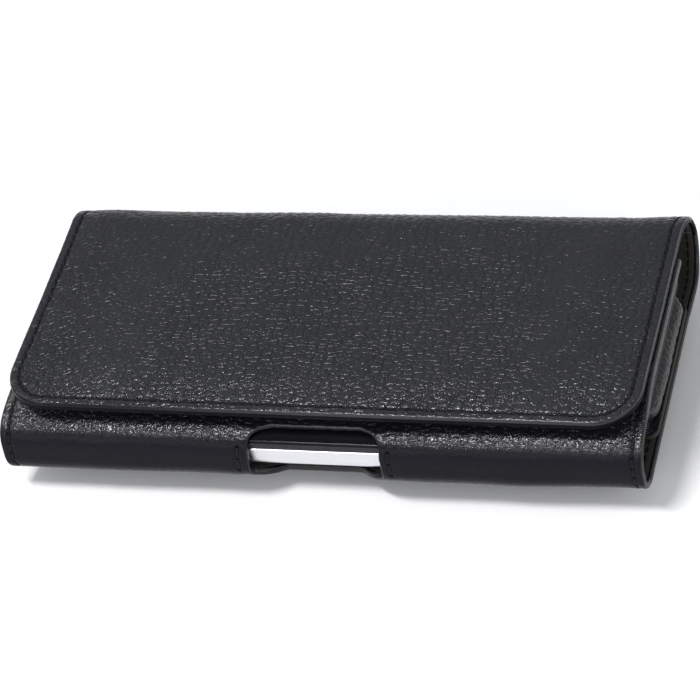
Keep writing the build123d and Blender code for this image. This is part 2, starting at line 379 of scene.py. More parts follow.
def edge_finish():
    """Smooth painted and burnished cut edge, glossier where it rounds into the grain side, darker
    below that rounding as painted shade, and lighter round the notch's arch as painted light."""
    n = Finish("painted_edge")
    flat = n.flat()
    uneven = n.noise(flat, 0.8, 3.0)
    x, y, _ = n.axes(flat)
    on_wrap = n.ramp(y, -2.0, 2.0, 0.0, 0.7)
    rounded = n.math("MAXIMUM", n.ramp(n.attribute("grain"), 0.32, 0.48), on_wrap)
    tone = n.mix(uneven, (0.0045, 0.0045, 0.0056, 1), (0.009, 0.009, 0.0108, 1))
    # painted shade: the edge's face below its rounding is coloured darker
    tone = n.mix(rounded, (0.004, 0.004, 0.005, 1), tone)
    # painted light: the edge is coloured lighter round the notch's arch
    beside = n.ramp(n.math("ABSOLUTE", x), 15.0, 20.0, 1.0, 0.0)
    arch_painted_light = n.times(beside, n.ramp(y, s_slope - 3.0, s_slope))
    n.set("Base Color", n.mix(arch_painted_light, tone, (0.026, 0.026, 0.031, 1)))
    n.set("Roughness", n.ramp(uneven, 0.3, 0.7, 0.24, 0.38))
    gloss = n.ramp(x, -50.0, 10.0, 0.12, 0.5)
    n.set("Specular IOR Level", n.ramp(rounded, 0.0, 1.0, 0.03, gloss))
    n.bump(n.times(uneven, 0.07))
    return n.material


def raw_edge_finish():
    """Cut edge and flesh side of a dyed hide left raw: olive-black fibres."""
    n = Finish("raw_edge")
    fibre = n.noise(n.flat(), 3.5, 4.0, 0.65)
    n.set("Base Color", n.mix(fibre, (0.012, 0.012, 0.008, 1), (0.044, 0.043, 0.030, 1)))
    n.set("Roughness", 0.85)
    n.bump(n.times(fibre, 0.12))
    return n.material


def lining_finish():
    """Brushed cloth lining, glued to the leather's inner side."""
    n = Finish("lining_cloth")
    flat = n.flat()
    nap = n.noise(flat, 3.2, 4.0, 0.7)
    cloud = n.noise(flat, 0.12, 2.0)
    tone = n.mix(nap, (0.007, 0.007, 0.005, 1), (0.019, 0.019, 0.014, 1))
    n.set("Base Color", n.mix(n.ramp(cloud, 0.35, 0.65, 0.0, 0.5), tone, (0.011, 0.011, 0.009, 1)))
    n.set("Roughness", 0.95)
    n.set("Sheen Weight", 0.1)
    n.bump(n.times(nap, 0.12))
    return n.material


def thread_finish():
    """Waxed twisted thread."""
    n = Finish("waxed_thread")
    place = n.add("ShaderNodeTexCoord").outputs["Object"]
    fuzz = n.noise(place, 2600.0, 3.0)
    n.set("Base Color", n.mix(fuzz, (0.002, 0.002, 0.0025, 1), (0.008, 0.008, 0.0095, 1)))
    n.set("Roughness", n.ramp(fuzz, 0.3, 0.7, 0.5, 0.7))
    n.set("Specular IOR Level", 0.2)
    n.bump(n.times(fuzz, 0.03))
    return n.material


def simple_finish(name, low, high, scale, rough, metal=0.0, relief=0.0, stretch=(1, 1, 1),
                  shine=0.5):
    """A finish mottled between two colours, for the handset and the parts inside the walls."""
    n = Finish(name)
    place = n.add("ShaderNodeTexCoord").outputs["Object"]
    grain = n.noise(n.vector("MULTIPLY", place, stretch), scale, 3.0, 0.6)
    n.set("Base Color", n.mix(grain, (*low, 1), (*high, 1)))
    n.set("Roughness", n.ramp(grain, 0.3, 0.7, rough - 0.05, rough + 0.05))
    n.set("Metallic", metal)
    n.set("Specular IOR Level", shine)
    n.bump(n.times(grain, relief))
    return n.material


# ---- paths
def across_heading(angle):
    return np.array([-math.sin(angle), math.cos(angle)])


class Path:
    """A line through corners (u, v, radius), each rounded to its radius, followed by its length.
    side is 1 where the outer face lies left of the travel, and -1 where right. marks holds the
    lengths at which each corner's arc starts and ends."""

    def __init__(self, side, *corners):
        self.side = side
        points = [np.array(c[:2], float) for c in corners]
        runs = [b - a for a, b in zip(points[:-1], points[1:])]
        headings = [math.atan2(run[1], run[0]) for run in runs]
        line, heading, length = [points[0]], [headings[0]], [0.0]
        self.marks = [(0.0, 0.0)]
        for i in range(1, len(points) - 1):
            radius = corners[i][2]
            turn = (headings[i] - headings[i - 1] + math.pi) % (2 * math.pi) - math.pi
            headings[i] = headings[i - 1] + turn
            cut = radius * math.tan(abs(turn) / 2)
            start = points[i] - cut * runs[i - 1] / np.hypot(*runs[i - 1])
            begin = length[-1] + float(np.hypot(*(start - line[-1])))
            left = math.copysign(1.0, turn)
            centre = start + left * radius * across_heading(headings[i - 1])
            parts = max(4, int(math.degrees(abs(turn)) / 1.5))
            for k in range(parts + 1):
                angle = headings[i - 1] + turn * k / parts
                line.append(centre - left * radius * across_heading(angle))
                heading.append(angle)
                length.append(begin + radius * abs(turn) * k / parts)
            self.marks.append((begin, length[-1]))
        length.append(length[-1] + float(np.hypot(*(points[-1] - line[-1]))))
        line.append(points[-1])
        heading.append(headings[-1])
        self.line, self.heading, self.lengths = np.array(line), np.array(heading), np.array(length)
        self.length = length[-1]

    def at(self, s):
        """Points and outward normals at lengths s, going straight on past either end."""
        s = np.asarray(s, float)
        inside = np.clip(s, 0, self.length)
        angle = np.interp(inside, self.lengths, self.heading)
        run = np.stack([np.cos(angle), np.sin(angle)], -1)
        point = np.stack([np.interp(inside, self.lengths, self.line[:, k]) for k in (0, 1)], -1)
        normal = self.side * np.stack([-run[..., 1], run[..., 0]], -1)
        return point + (s - inside)[..., None] * run, normal


knee_rise = front_top - knee * math.tan(slope)
wrap_path = Path(
    1, (spine_y + spine_r, spine_r), (spine_y + spine_r, 0, spine_r), (0, 0, 5.0),
    (0, knee_rise, front_fold), (knee, front_top, 25.0), (mouth, front_top),
)
flap_path = Path(
    -1, (spine_y + spine_r, spine_r), (spine_y + spine_r, depth, spine_r), (flap_tip, depth),
)
loop_path = Path(
    -1, (9.5, -1.8), (14.5, -1.8, 2.0), (17.5, -6.4, 3.0), (47.5, -6.4, 3.0), (50.5, -1.8, 2.0),
    (55.5, -1.8),
)
s_back, s_bottom = wrap_path.marks[2]
s_front, s_slope = wrap_path.marks[3]
wrap_rim = wrap_path.length
flap_end = flap_path.length
worn_foot = (s_bottom - 7.0, s_bottom - 2.0)
worn_top = (s_front + 3.6, s_front + 6.2)


def across(path, shape=None, inward=False):
    """Where (a, s) of a sheet lies, whose section follows path and which runs along X. shape
    gives the sheet's x and how far it swells outward."""

    def place(a, s, h):
        a, s = np.broadcast_arrays(np.asarray(a, float), np.asarray(s, float))
        point, normal = path.at(s)
        x, lift = (a, np.zeros(a.shape)) if shape is None else shape(a, s)
        out = lift - np.asarray(h) if inward else lift + np.asarray(h)
        at = point + normal * out[..., None]
        return np.stack([x, at[..., 0], at[..., 1]], -1)

    return place


def spine_push(a, s):
    """How far the spine's loop stands out at its right end, and is drawn in at its left."""
    right = 0.6 * fade(a, 52, 67) * (1 - fade(s, 10, 26))
    return right - 0.5 * fade(-a, 45, 67) * (1 - fade(s, 12, 44))


def spine_dent(a, s):
    """The spine has relaxed inward except at the right end."""
    return -0.65 * (1 - fade(a, 56, 68)) * (1 - fade(s, 9, 30))


def wrap_shape(a, s):
    """The wrap is as narrow as the flap at the spine. Its left end swells at the fold, the back
    fold is squarer away from the right end, and the front panel is pressed in below the flap."""
    narrow = (half_pocket - half_flap) * (1 - fade(s, 4, 24))
    swell = 1.5 * fade(s, s_bottom - 12, s_bottom) * (1 - fade(s, s_slope, s_slope + 16))
    x = a * (1 - narrow / half_pocket) - swell * fade(-a, 40, half_pocket) + spine_push(a, s)
    turn = np.clip((s - s_back) / (s_bottom - s_back), -0.45, 1.45)
    square = (0.75 + 0.35 * fade(-a, 30, 66)) * np.cos((turn - 0.5) * math.pi / 1.9) ** 2
    lift = square * (1 - 0.7 * fade(a, 38, 64))
    pressed = fade(s, s_front, s_slope + 1) * (1 - fade(s, s_slope + 10, s_slope + 24))
    lift = lift - (0.45 * (1 - fade(a, 22, 48)) + 0.5 * (1 - fade(abs(a), 12, 28))) * pressed
    return x, lift + spine_dent(a, s)


def flap_swell(s):
    return 0.45 * fade(s, flap_end - 34, flap_end - 10)


def flap_shape(a, s):
    """The flap swells a little towards its tip, which rolls down again."""
    roll = 0.4 * np.clip((s - flap_end + 9) / 9, 0, 1.1) ** 2
    return a + spine_push(a, 1.6 * s), spine_dent(a, s) + flap_swell(s) - roll


def wrap_thickness(points):
    """The wrap is thinner round the folds, and skived at its two ends below the front panel."""
    a, s = abs(points[:, 0]), points[:, 1]
    folds = fold_skive * fade(s, s_back - 6, s_back) * (1 - fade(s, s_slope + 3, s_slope + 8))
    ends = skive * fade(a, *skive_zone) * (1 - fade(s, s_front, s_slope + 6))
    return wall - np.maximum(folds, ends)


def flap_thickness(points):
    """The flap is skived at its ends near the spine, and its lining bulges over the magnets."""
    a, s = abs(points[:, 0]), points[:, 1]
    y = flap_path.at(s)[0][..., 0]
    apart = np.hypot(a - magnet_x, y - magnet_y)
    bulge = (flap_swell(s) + 0.15) * (1 - fade(apart, 5.8, 10.0))
    ends = skive * fade(a * half_pocket / half_flap, *skive_zone) * (1 - fade(s, 5, 16))
    return wall + bulge - ends


wrap_place = across(wrap_path, wrap_shape)
flap_place = across(flap_path, flap_shape)


# ---- noise and grading
def lattice_noise(points, cell, seed):
    """Smooth noise from -1 to 1 over a plane, from a seeded lattice of the given cell size."""
    values = np.random.default_rng(seed).uniform(-1, 1, (64, 64))
    u, v = points[:, 0] / cell[0] + 500.0, points[:, 1] / cell[1] + 500.0
    i, j = np.floor(u).astype(int), np.floor(v).astype(int)
    fu, fv = u - i, v - j
    fu, fv = fu * fu * (3 - 2 * fu), fv * fv * (3 - 2 * fv)

    def corner(di, dj):
        return values[(i + di) % 64, (j + dj) % 64]

    low = corner(0, 0) * (1 - fu) + corner(1, 0) * fu
    high = corner(0, 1) * (1 - fu) + corner(1, 1) * fu
    return low * (1 - fv) + high * fv


# distances from a cut edge at which a patch has lines, for faces that show and for those that
# hardly do
EDGE_STEPS = np.array([
    0.0, 0.07, 0.16, 0.28, 0.42, 0.6, 0.85, 1.1, 1.35, 1.6, 1.8, 2.0, 2.2, 2.4, 2.7, 3.0, 3.4,
])
COARSE_STEPS = np.array([0.0, 1.5])


def steps(low, high, step):
    return np.linspace(low, high, max(2, round((high - low) / step) + 1))


def both_edges(half, step, near=EDGE_STEPS):
    """Positions from -half to half, close together near both ends."""
    inner = steps(near[-1] - half, half - near[-1], step)
    return np.concatenate([near[:-1] - half, inner, half - near[:-1][::-1]])


# ---- patches
def rounding(d, radius):
    """How far a face or outline drops at a distance d from an edge rounded to a radius."""
    d = np.clip(d, 0, radius)
    return radius - np.sqrt(np.maximum(radius**2 - (radius - d) ** 2, 0))


def bands(rings, flip=False):
    """Quads that join each closed ring of vertex numbers to the next one."""
    after = np.roll(rings, -1, axis=-1)
    corners = [rings[..., :-1, :], rings[..., 1:, :], after[..., 1:, :], after[..., :-1, :]]
    quads = np.stack(corners, -1).reshape(-1, 4)
    return quads[:, [0, 3, 2, 1]] if flip else quads


def grid_patch(points):
    """Quads over a grid of (a, s) points with their outer loop, the sheet on its left."""
    rows, cols = points.shape[:2]
    index = np.arange(rows * cols).reshape(rows, cols)
    faces = np.stack([index[:-1, :-1], index[:-1, 1:], index[1:, 1:], index[1:, :-1]], -1)
    loop = np.concatenate([index[0, :-1], index[:-1, -1], index[-1, :0:-1], index[:0:-1, 0]])
    return points.reshape(-1, 2), faces.reshape(-1, 4), [loop]


def tongue_patch(inset, body_rows, step, near=EDGE_STEPS):
    """The flap's patch, drawn in by an inset, with two round corners at its tip."""
    half, end, corner = half_flap - inset, flap_end - inset, flap_corner - inset
    turn = np.radians(steps(0.0, 90.0, 2.1 if near is EDGE_STEPS else 11.0))
    up = corner * (1 - np.cos(turn))[::-1]
    s_values = np.concatenate([body_rows, end - up])
    short = rounding(end - s_values, corner)
    inner = steps(-1.0, 1.0, step / (half - near[-1]))
    lines = []
    for h in half - short:
        lines.append(np.concatenate([near[:-1] - h, inner * (h - near[-1]), h - near[:-1][::-1]]))
    a_grid = np.array(lines)
    s_grid = np.repeat(s_values[:, None], a_grid.shape[1], 1)
    return grid_patch(np.stack([a_grid, s_grid], -1))


def middle_and_half(line):
    """The middle of a line's box, and half its size."""
    return (line.max(0) + line.min(0)) / 2, (line.max(0) - line.min(0)) / 2


def holed_patch(a_values, s_values, outline, box, near):
    """A grid patch with a hole. outline is the hole's closed line, box the half width, low and
    high s of the grid lines that it is joined to, and near the rings' distances from the hole."""
    verts, cells, loops = grid_patch(np.stack(np.meshgrid(a_values, s_values), -1))
    rows, cols = len(s_values), len(a_values)
    index = np.arange(rows * cols).reshape(rows, cols)
    c0, c1 = (int(np.argmin(abs(a_values - a))) for a in (-box[0], box[0]))
    r0, r1 = (int(np.argmin(abs(s_values - s))) for s in box[1:])
    keep = np.ones((rows - 1, cols - 1), bool)
    keep[r0:r1, c0:c1] = False
    rim = np.concatenate([
        index[r0, c0:c1], index[r0:r1, c1], index[r1, c1:c0:-1], index[r1:r0:-1, c0],
    ])
    centre, stretch = middle_and_half(outline)

    def bearing(p):
        return np.arctan2((p[:, 1] - centre[1]) / stretch[1], (p[:, 0] - centre[0]) / stretch[0])

    order = np.argsort(bearing(outline))
    known, shape = bearing(outline)[order], outline[order]
    known = np.concatenate([known - 2 * math.pi, known, known + 2 * math.pi])
    wanted = bearing(verts[rim])
    on_hole = np.stack([np.interp(wanted, known, np.tile(shape[:, k], 3)) for k in (0, 1)], -1)
    way = verts[rim] - on_hole
    span = np.hypot(*way.T)
    extra = 9
    shares = [d / span for d in near]
    shares += [(near[-1] * (1 - k / extra) + span * k / extra) / span for k in range(1, extra)]
    rings = [on_hole + way * share[:, None] for share in shares]
    ring_index = len(verts) + np.arange(len(rings) * len(rim)).reshape(len(rings), len(rim))
    verts = np.concatenate([verts, *rings])
    ring_index = np.concatenate([ring_index, rim[None]])
    used = np.ones(len(verts), bool)
    used[index[r0 + 1 : r1, c0 + 1 : c1].ravel()] = False
    renumber = np.cumsum(used) - 1
    faces = np.concatenate([cells[keep.ravel()], bands(ring_index)])
    loops.append(ring_index[0][::-1])
    return verts[used], renumber[faces], [renumber[loop] for loop in loops]


def outward(points):
    """Unit directions out of a sheet along a closed loop that has the sheet on its left."""
    run = np.roll(points, -1, axis=0) - np.roll(points, 1, axis=0)
    run = run / np.maximum(np.hypot(*run.T), 1e-9)[:, None]
    return np.stack([run[:, 1], -run[:, 0]], -1)


def zip_loops(outer, inner, points):
    """Triangles between two closed loops of vertices that run the same way round."""
    nearest = int(np.argmin(np.hypot(*(points[inner] - points[outer[0]]).T)))
    inner = np.roll(inner, -nearest)
    faces = []
    i = j = 0
    while i < len(outer) or j < len(inner):
        a, b = outer[i % len(outer)], inner[j % len(inner)]
        next_a, next_b = outer[(i + 1) % len(outer)], inner[(j + 1) % len(inner)]
        outer_gap = np.hypot(*(points[next_a] - points[b]))
        inner_gap = np.hypot(*(points[next_b] - points[a]))
        if j >= len(inner) or (i < len(outer) and outer_gap <= inner_gap):
            faces.append((next_a, a, b))
            i += 1
        else:
            faces.append((b, next_b, a))
            j += 1
    return faces


# ---- seams
def tree_of(points):
    """A search tree of points in the sheet's plane."""
    tree = KDTree(len(points))
    for i, p in enumerate(points):
        tree.insert((*p, 0.0), i)
    tree.balance()
    return tree


class Seams:
    """Rows of stitches on a sheet. nearest() gives each point's place along the nearest row,
    in stitches, and its distance from that row in millimetres."""

    def __init__(self, *rows):
        self.rows = rows
        self.counts = [max(1, round(r.length / pitch)) for r in rows]
        samples = [np.arange(0, r.length, 0.1) for r in rows]
        self.tree = tree_of(np.concatenate([r.at(s)[0] for r, s in zip(rows, samples)]))
        lots = zip(rows, self.counts, samples)
        self.along = np.concatenate([s / r.length * count for r, count, s in lots])

    def nearest(self, points, wanted):
        result = np.tile([0.5, away], (len(points), 1))
        for i in np.flatnonzero(wanted):
            _, k, gap = self.tree.find((*points[i], 0.0))
            result[i] = self.along[k], gap
        return result


def distance_to(points, line, wanted):
    """Distance from each wanted point to a dense line, and a large number elsewhere."""
    tree = tree_of(line)
    result = np.full(len(points), 1e3)
    for i in np.flatnonzero(wanted):
        result[i] = tree.find((*points[i], 0.0))[2]
    return result


# ---- solids
class Build:
    """Vertices and faces being gathered for one mesh."""

    def __init__(self):
        self.points, self.flats, self.faces, self.slots = [], [], [], []
        self.count = 0

    def add(self, points, flat):
        first = self.count
        self.points.append(points)
        self.flats.append(flat)
        self.count += len(points)
        return first

    def join(self, faces, slot):
        self.faces.append(np.asarray(faces))
        self.slots.append(np.broadcast_to(slot, len(faces)))


def on_edge(d):
    """Distances from a cut edge, exactly 0 for the points that lie on it."""
    return np.where(d < 1e-3, 0.0, d)


UNDER_RINGS = (0.0, 0.08, 0.2, 0.45, 0.8)  # distances of the under face's rings from the edge


def sheet_solid(name, top, place, thickness, margin, relief=None, under=None, grain=None,
                seams=None, round_top=0.5, round_low=0.45, swell=0.12, band=0.3, hide=None):
    """A closed solid from a patch: a top face, an edge rounded all round and an under face.
    margin gives points' distance to a cut edge and relief the top's height. under is a coarser
    patch for the under face, which inside the rim lies only one leather deep, so that board and
    lining fit below it. Without one the top's patch serves. Slot 1 covers the edge and what is
    within band of it. hide turns the sheet's points into those of the hide that its grain is
    taken from."""
    verts, faces, loops = top
    build = Build()
    thick = thickness if callable(thickness) else lambda points: np.full(len(points), thickness)
    reach = margin(verts)
    stitched = np.tile([0.5, away], (len(verts), 1))
    if seams is not None:
        stitched = seams.nearest(verts, reach < 5)
    strength = np.ones(len(verts)) if grain is None else grain(verts, reach)
    height = -rounding(reach, round_top)
    if relief is not None:
        height = height + relief(verts, reach, stitched[:, 1], strength)
    build.add(place(verts[:, 0], verts[:, 1], height), verts)
    build.join(faces, np.where(reach[faces].mean(1) < band, 1, 0))
    if under is None:
        low = place(verts[:, 0], verts[:, 1], -thick(verts) + rounding(reach, round_low))
        low_first = build.add(low, verts)
        build.join(faces[:, ::-1] + low_first, np.where(reach[faces].mean(1) < band, 1, 2))
    else:
        under_verts, under_faces, under_loops = under
        low = place(under_verts[:, 0], under_verts[:, 1], -leather)
        low_first = build.add(low, under_verts)
        build.join(under_faces[:, ::-1] + low_first, 2)
    for k, loop in enumerate(loops):
        edge, cut = verts[loop], reach[loop] < 1e-6
        out = outward(edge)
        upper, lower = height[loop], -thick(edge) + rounding(reach[loop], round_low)
        swollen = edge + out * (swell * cut)[:, None]
        rings = [(swollen, upper + (lower - upper) * f) for f in (0.3, 0.7)]
        if under is not None:
            for d in UNDER_RINGS:
                rings.append((edge - out * d, -thick(edge) + rounding(reach[loop] + d, round_low)))
            rings.append((edge - out * UNDER_RINGS[-1], -leather))
        chain = [loop]
        for ring, level in rings:
            first = build.add(place(ring[:, 0], ring[:, 1], level), ring)
            chain.append(first + np.arange(len(loop)))
        if under is None:
            chain.append(loop + low_first)
        build.join(bands(np.array(chain)), 1)
        if under is not None:
            flat = np.concatenate(build.flats)
            build.join(zip_loops(chain[-1], under_loops[k] + low_first, flat), 2)
    flats = np.concatenate(build.flats)
    body = make_object(name, np.concatenate(build.points), build.faces, build.slots)
    set_vector(body, "flat", flats if hide is None else hide(flats))
    extra = build.count - len(verts)
    set_vector(body, "stitch", np.concatenate([stitched, np.tile([0.5, away], (extra, 1))]))
    set_value(body, "grain", np.concatenate([strength, np.full(extra, 0.3)]))
    return body


def make_object(name, points, faces, slots):
    """A smooth-shaded mesh object from section-frame points, with its faces turned outward."""
    where = row(points)
    volume = 0.0
    for group in faces:
        for k in range(1, group.shape[1] - 1):
            a, b, c = (where[group[:, i]] for i in (0, k, k + 1))
            volume += float(np.einsum("ij,ij->i", a, np.cross(b, c)).sum())
    turned = [group if volume > 0 else group[:, ::-1] for group in faces]
    mesh = bpy.data.meshes.new(name)
    mesh.from_pydata(where.tolist(), [], [f for group in turned for f in group.tolist()])
    mesh.polygons.foreach_set("use_smooth", np.ones(len(mesh.polygons), bool))
    mesh.polygons.foreach_set("material_index", np.concatenate(slots).astype(np.int32))
    mesh.update()
    body = bpy.data.objects.new(name, mesh)
    bpy.context.scene.collection.objects.link(body)
    return body


def set_vector(body, name, values):
    values = np.pad(np.asarray(values, np.float32), ((0, 0), (0, 1)))
    attribute = body.data.attributes.new(name, "FLOAT_VECTOR", "POINT")
    attribute.data.foreach_set("vector", values.ravel())


def set_value(body, name, values):
    attribute = body.data.attributes.new(name, "FLOAT", "POINT")
    attribute.data.foreach_set("value", values.astype(np.float32))


def dress(body, slot, *materials):
    for material in materials:
        body.data.materials.append(material)


def sew(name, parts, material):
    """One object of all the stitches of some rows. parts holds (seams, place, height), where
    height gives the surface's height at points. Each stitch dives into its hole at both ends."""
    rings, sides = 11, 10
    half_width, half_height, sink = 0.27, 0.2, 0.42
    t = np.linspace(-1, 1, rings)
    phi = np.arange(sides) * 2 * math.pi / sides
    plump = np.sqrt(np.clip(1.02 - np.abs(t) ** 5, 0, 1))[:, None]
    twist = 1 + 0.13 * np.cos(2 * phi[None, :] + 7.0 * t[:, None])
    sideways = half_width * plump * np.cos(phi) * twist
    points, faces = [], []
    count = 0
    for seams, place, height in parts:
        for line, number in zip(seams.rows, seams.counts):
            step = line.length / number
            at = (np.arange(number)[:, None] + 0.5 + t[None, :] * 0.5) * step
            centre, normal = line.at(at)
            level = height(centre.reshape(-1, 2)).reshape(at.shape) + 0.1 - sink * t**4
            a, s = (centre[..., k, None] + normal[..., k, None] * sideways for k in (0, 1))
            h = level[..., None] + half_height * plump * np.sin(phi) * twist
            points.append(place(a, s, h).reshape(-1, 3))
            base = count + np.arange(number)[:, None, None] * rings * sides
            index = base + np.arange(rings)[None, :, None] * sides + np.arange(sides)
            faces.append(bands(index, flip=True))
            faces.append(np.concatenate([index[:, 0, ::-1], index[:, -1]]))
            count += number * rings * sides
    body = make_object(name, np.concatenate(points), faces, [np.zeros(len(f)) for f in faces])
    dress(body, "thread", material)
    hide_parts(name)
    return body


# ---- the pocket's wrap
def rounded(corners, fine=0.15):
    """A closed line through (point, radius) corners, each rounded by an arc."""
    line = []
    total = len(corners)
    for i, (corner, radius) in enumerate(corners):
        p = np.array(corner, float)
        a = np.array(corners[i - 1][0], float) - p
        b = np.array(corners[(i + 1) % total][0], float) - p
        a, b = a / np.hypot(*a), b / np.hypot(*b)
        half = math.acos(max(-1.0, min(1.0, float(a @ b)))) / 2
        centre = p + (a + b) / np.hypot(*(a + b)) * radius / math.sin(half)
        first, last = p + a * radius / math.tan(half), p + b * radius / math.tan(half)
        t0, t1 = (math.atan2(*(q - centre)[::-1]) for q in (first, last))
        turn = (t1 - t0 + math.pi) % (2 * math.pi) - math.pi
        for t in np.linspace(t0, t0 + turn, max(3, int(abs(turn) * radius / fine))):
            line.append(centre + radius * np.array([math.cos(t), math.sin(t)]))
    line = np.array(line)
    closed = np.concatenate([line, line[:1]])
    run = np.concatenate([[0], np.cumsum(np.hypot(*np.diff(closed, axis=0).T))])
    at = np.arange(0, run[-1], fine)
    return np.stack([np.interp(at, run, closed[:, k]) for k in (0, 1)], -1)


# the notch's corners and their radii, uneven as in the photo
notch_line = rounded([
    ((notch_half, s_slope + 0.3), 5.2),
    ((-notch_half - 0.5, s_slope + 0.3), 5.2),
    ((-notch_half - 1.2, s_bottom - 2.4), 1.6),
    ((-8.5, s_bottom - 6.4), 2.5),
    ((8.0, s_bottom - 6.4), 2.5),
    ((notch_half, s_bottom - 1.9), 1.6),
])


notch_box = (20.0, s_bottom - 10.5, s_slope + 5.0)  # half width, low and high s


def around_notch(gap):
    """The notch's line moved outward by a gap."""
    middle, half = middle_and_half(notch_line)
    return middle + (notch_line - middle) * (1 + gap / half)


def wrap_margin(points):
    near = np.minimum(half_pocket - abs(points[:, 0]), wrap_rim - points[:, 1])
    close = (abs(points[:, 0]) < 24) & (points[:, 1] > s_bottom - 14) & (points[:, 1] < s_slope + 8)
    return on_edge(np.minimum(near, distance_to(points, notch_line, close)))


def wrap_grain(points, reach):
    """The grain is pressed flat by the edges, and worn smooth on the bottom face."""
    rough = np.maximum(fade(points[:, 1], *worn_top), 1 - fade(points[:, 1], *worn_foot))
    return (0.2 + 0.8 * rough) * (0.5 + 0.5 * fade(reach, 0.4, 2.6))


def hide_relief(points, hide, reach, w, strength, waves, dip):
    """Two sizes of wave, the grain's domes, a dip along the seams and a tuck under the other
    sheet's end."""
    big, small = waves
    wave = big * lattice_noise(hide, (15, 9), 3) + small * lattice_noise(hide, (6, 4), 4)
    tuck = 0.12 * np.minimum(points[:, 1], 0)
    domes = (grain_heights(hide) - mean_dome) * strength
    return wave * fade(reach, 0, 6) + domes - dip * np.exp(-((w / seam_dip) ** 2)) + tuck


def wrap_relief(points, reach, w, strength):
    return hide_relief(points, points, reach, w, strength, (0.16, 0.07), 0.22)


side_x = half_pocket - seam_margin
notch_x = notch_half + seam_margin
wrap_seams = Seams(
    *(Path(1, (x, 0.0), (x, wrap_rim - 1.5)) for x in (-side_x, side_x)),
    Path(1, (-notch_x - 1.4, s_bottom - 1.0), (-notch_x - 0.9, s_front + 3.0)),
    Path(1, (notch_x, s_bottom - 1.0), (notch_x, s_front + 3.0)),
)


def make_lining(name, sheet, place, thickness, cloth):
    """A lining at the inner side of a leather sheet with that place and thickness."""

    def inner(a, s, h):
        return place(a, s, np.asarray(h) + 0.2 - thickness(np.stack([a, s], -1)))

    lining = sheet_solid(
        name, sheet, inner, lining_thickness, lambda points: np.full(len(points), away),
    )
    dress(lining, "lining_cloth", cloth, cloth, cloth)
    return lining


def on_spine(*ys):
    """Points at the spine's middle height."""
    return [tuple(row([0.0, y, spine_r])) for y in ys]


# two places on the spine, kept short of the linings' depth
bend_low, bend_high = spine_y + 2.2, spine_y + spine_r - 2.6


def coarse_wrap(inset, s_start, a_step, s_step):
    """A coarser patch of the wrap, set back by inset from its edges."""
    return holed_patch(
        steps(inset - half_pocket, half_pocket - inset, a_step),
        steps(s_start, wrap_rim - inset, s_step),
        around_notch(inset), notch_box, np.array([0.0, 0.5]),
    )


def make_wrap(grain, edge, flesh, cloth):
    s_values = np.concatenate([
        [-0.6, -0.25, 0.0],
        steps(0.5, s_back - 4.0, 0.55)[:-1],
        steps(s_back - 4.0, s_slope + 14.0, 0.4)[:-1],
        steps(s_slope + 14.0, wrap_rim - EDGE_STEPS[-1], 0.6)[:-1],
        wrap_rim - EDGE_STEPS[::-1],
    ])
    top = holed_patch(
        both_edges(half_pocket, 0.5), s_values, notch_line, notch_box, EDGE_STEPS[:13],
    )
    shell = sheet_solid(
        "pocket_leather", top, wrap_place, wrap_thickness, wrap_margin, wrap_relief,
        under=coarse_wrap(under_inset, 0.4, 3.0, 1.5), grain=wrap_grain, seams=wrap_seams,
    )
    dress(shell, "leather_grain", grain, edge, flesh)
    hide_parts("pocket_leather")
    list(on_spine(bend_low, bend_high))
    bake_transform(shell)

    sheet = coarse_wrap(lining_inset, 0.0, 1.6, 0.7)
    lining = make_lining("pocket_lining", sheet, wrap_place, wrap_thickness, cloth)
    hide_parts("pocket_lining")
    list(on_spine(bend_low, bend_high))
    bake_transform(lining)


def outer_level(margin, relief, grain):
    """A function of points: the height of a sheet's grain side under its stitches."""

    def level(points):
        reach = margin(points)
        return relief(points, reach, np.zeros(len(points)), grain(points, reach))

    return level


def inner_level(thickness):
    """A function of points: how deep a sheet's lining lies under its stitches."""
    return lambda points: thickness(points) - 0.05


def make_pocket_threads(thread):
    inside = across(wrap_path, wrap_shape, inward=True)
    level, behind = outer_level(wrap_margin, wrap_relief, wrap_grain), inner_level(wrap_thickness)
    left, right, notch_left, notch_right = wrap_seams.rows
    for name, line in (("side_thread_left", left), ("side_thread_right", right)):
        seams = Seams(line)
        body = sew(name, [(seams, wrap_place, level), (seams, inside, behind)], thread)
        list(on_spine(bend_low, bend_high))
        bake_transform(body)
    body = sew("notch_thread", [(Seams(notch_left, notch_right), wrap_place, level)], thread)
    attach(body, "pocket")


# ---- the flap
def flap_margin(points):
    """Distance from the flap's outline, which has two round corners at its tip."""
    x, up = abs(points[:, 0]), flap_end - points[:, 1]
    in_corner = (x > half_flap - flap_corner) & (up < flap_corner)
    round_part = flap_corner - np.hypot(x - half_flap + flap_corner, flap_corner - up)
    return on_edge(np.where(in_corner, round_part, np.minimum(half_flap - x, up)))


def flap_grain(points, reach):
    return 0.5 + 0.5 * fade(reach, 0.4, 2.6)


def mirrored(points):
    """The flap's place on the hide: it runs on from the spine the other way."""
    return points * [1.0, -1.0]


def flap_relief(points, reach, w, strength):
    """Besides the hide's relief, the flap is padded inside its seam."""
    relief = hide_relief(points, mirrored(points), reach, w, strength, (0.14, 0.06), 0.24)
    return relief + 0.14 * fade(reach, seam_margin, seam_margin + 6) - 0.14


seam_x, seam_end = half_flap - seam_margin, flap_end - seam_margin
seam_turn = flap_corner - seam_margin
flap_seams = Seams(Path(
    1, (-seam_x, 0.0), (-seam_x, seam_end, seam_turn), (seam_x, seam_end, seam_turn), (seam_x, 0.0),
))


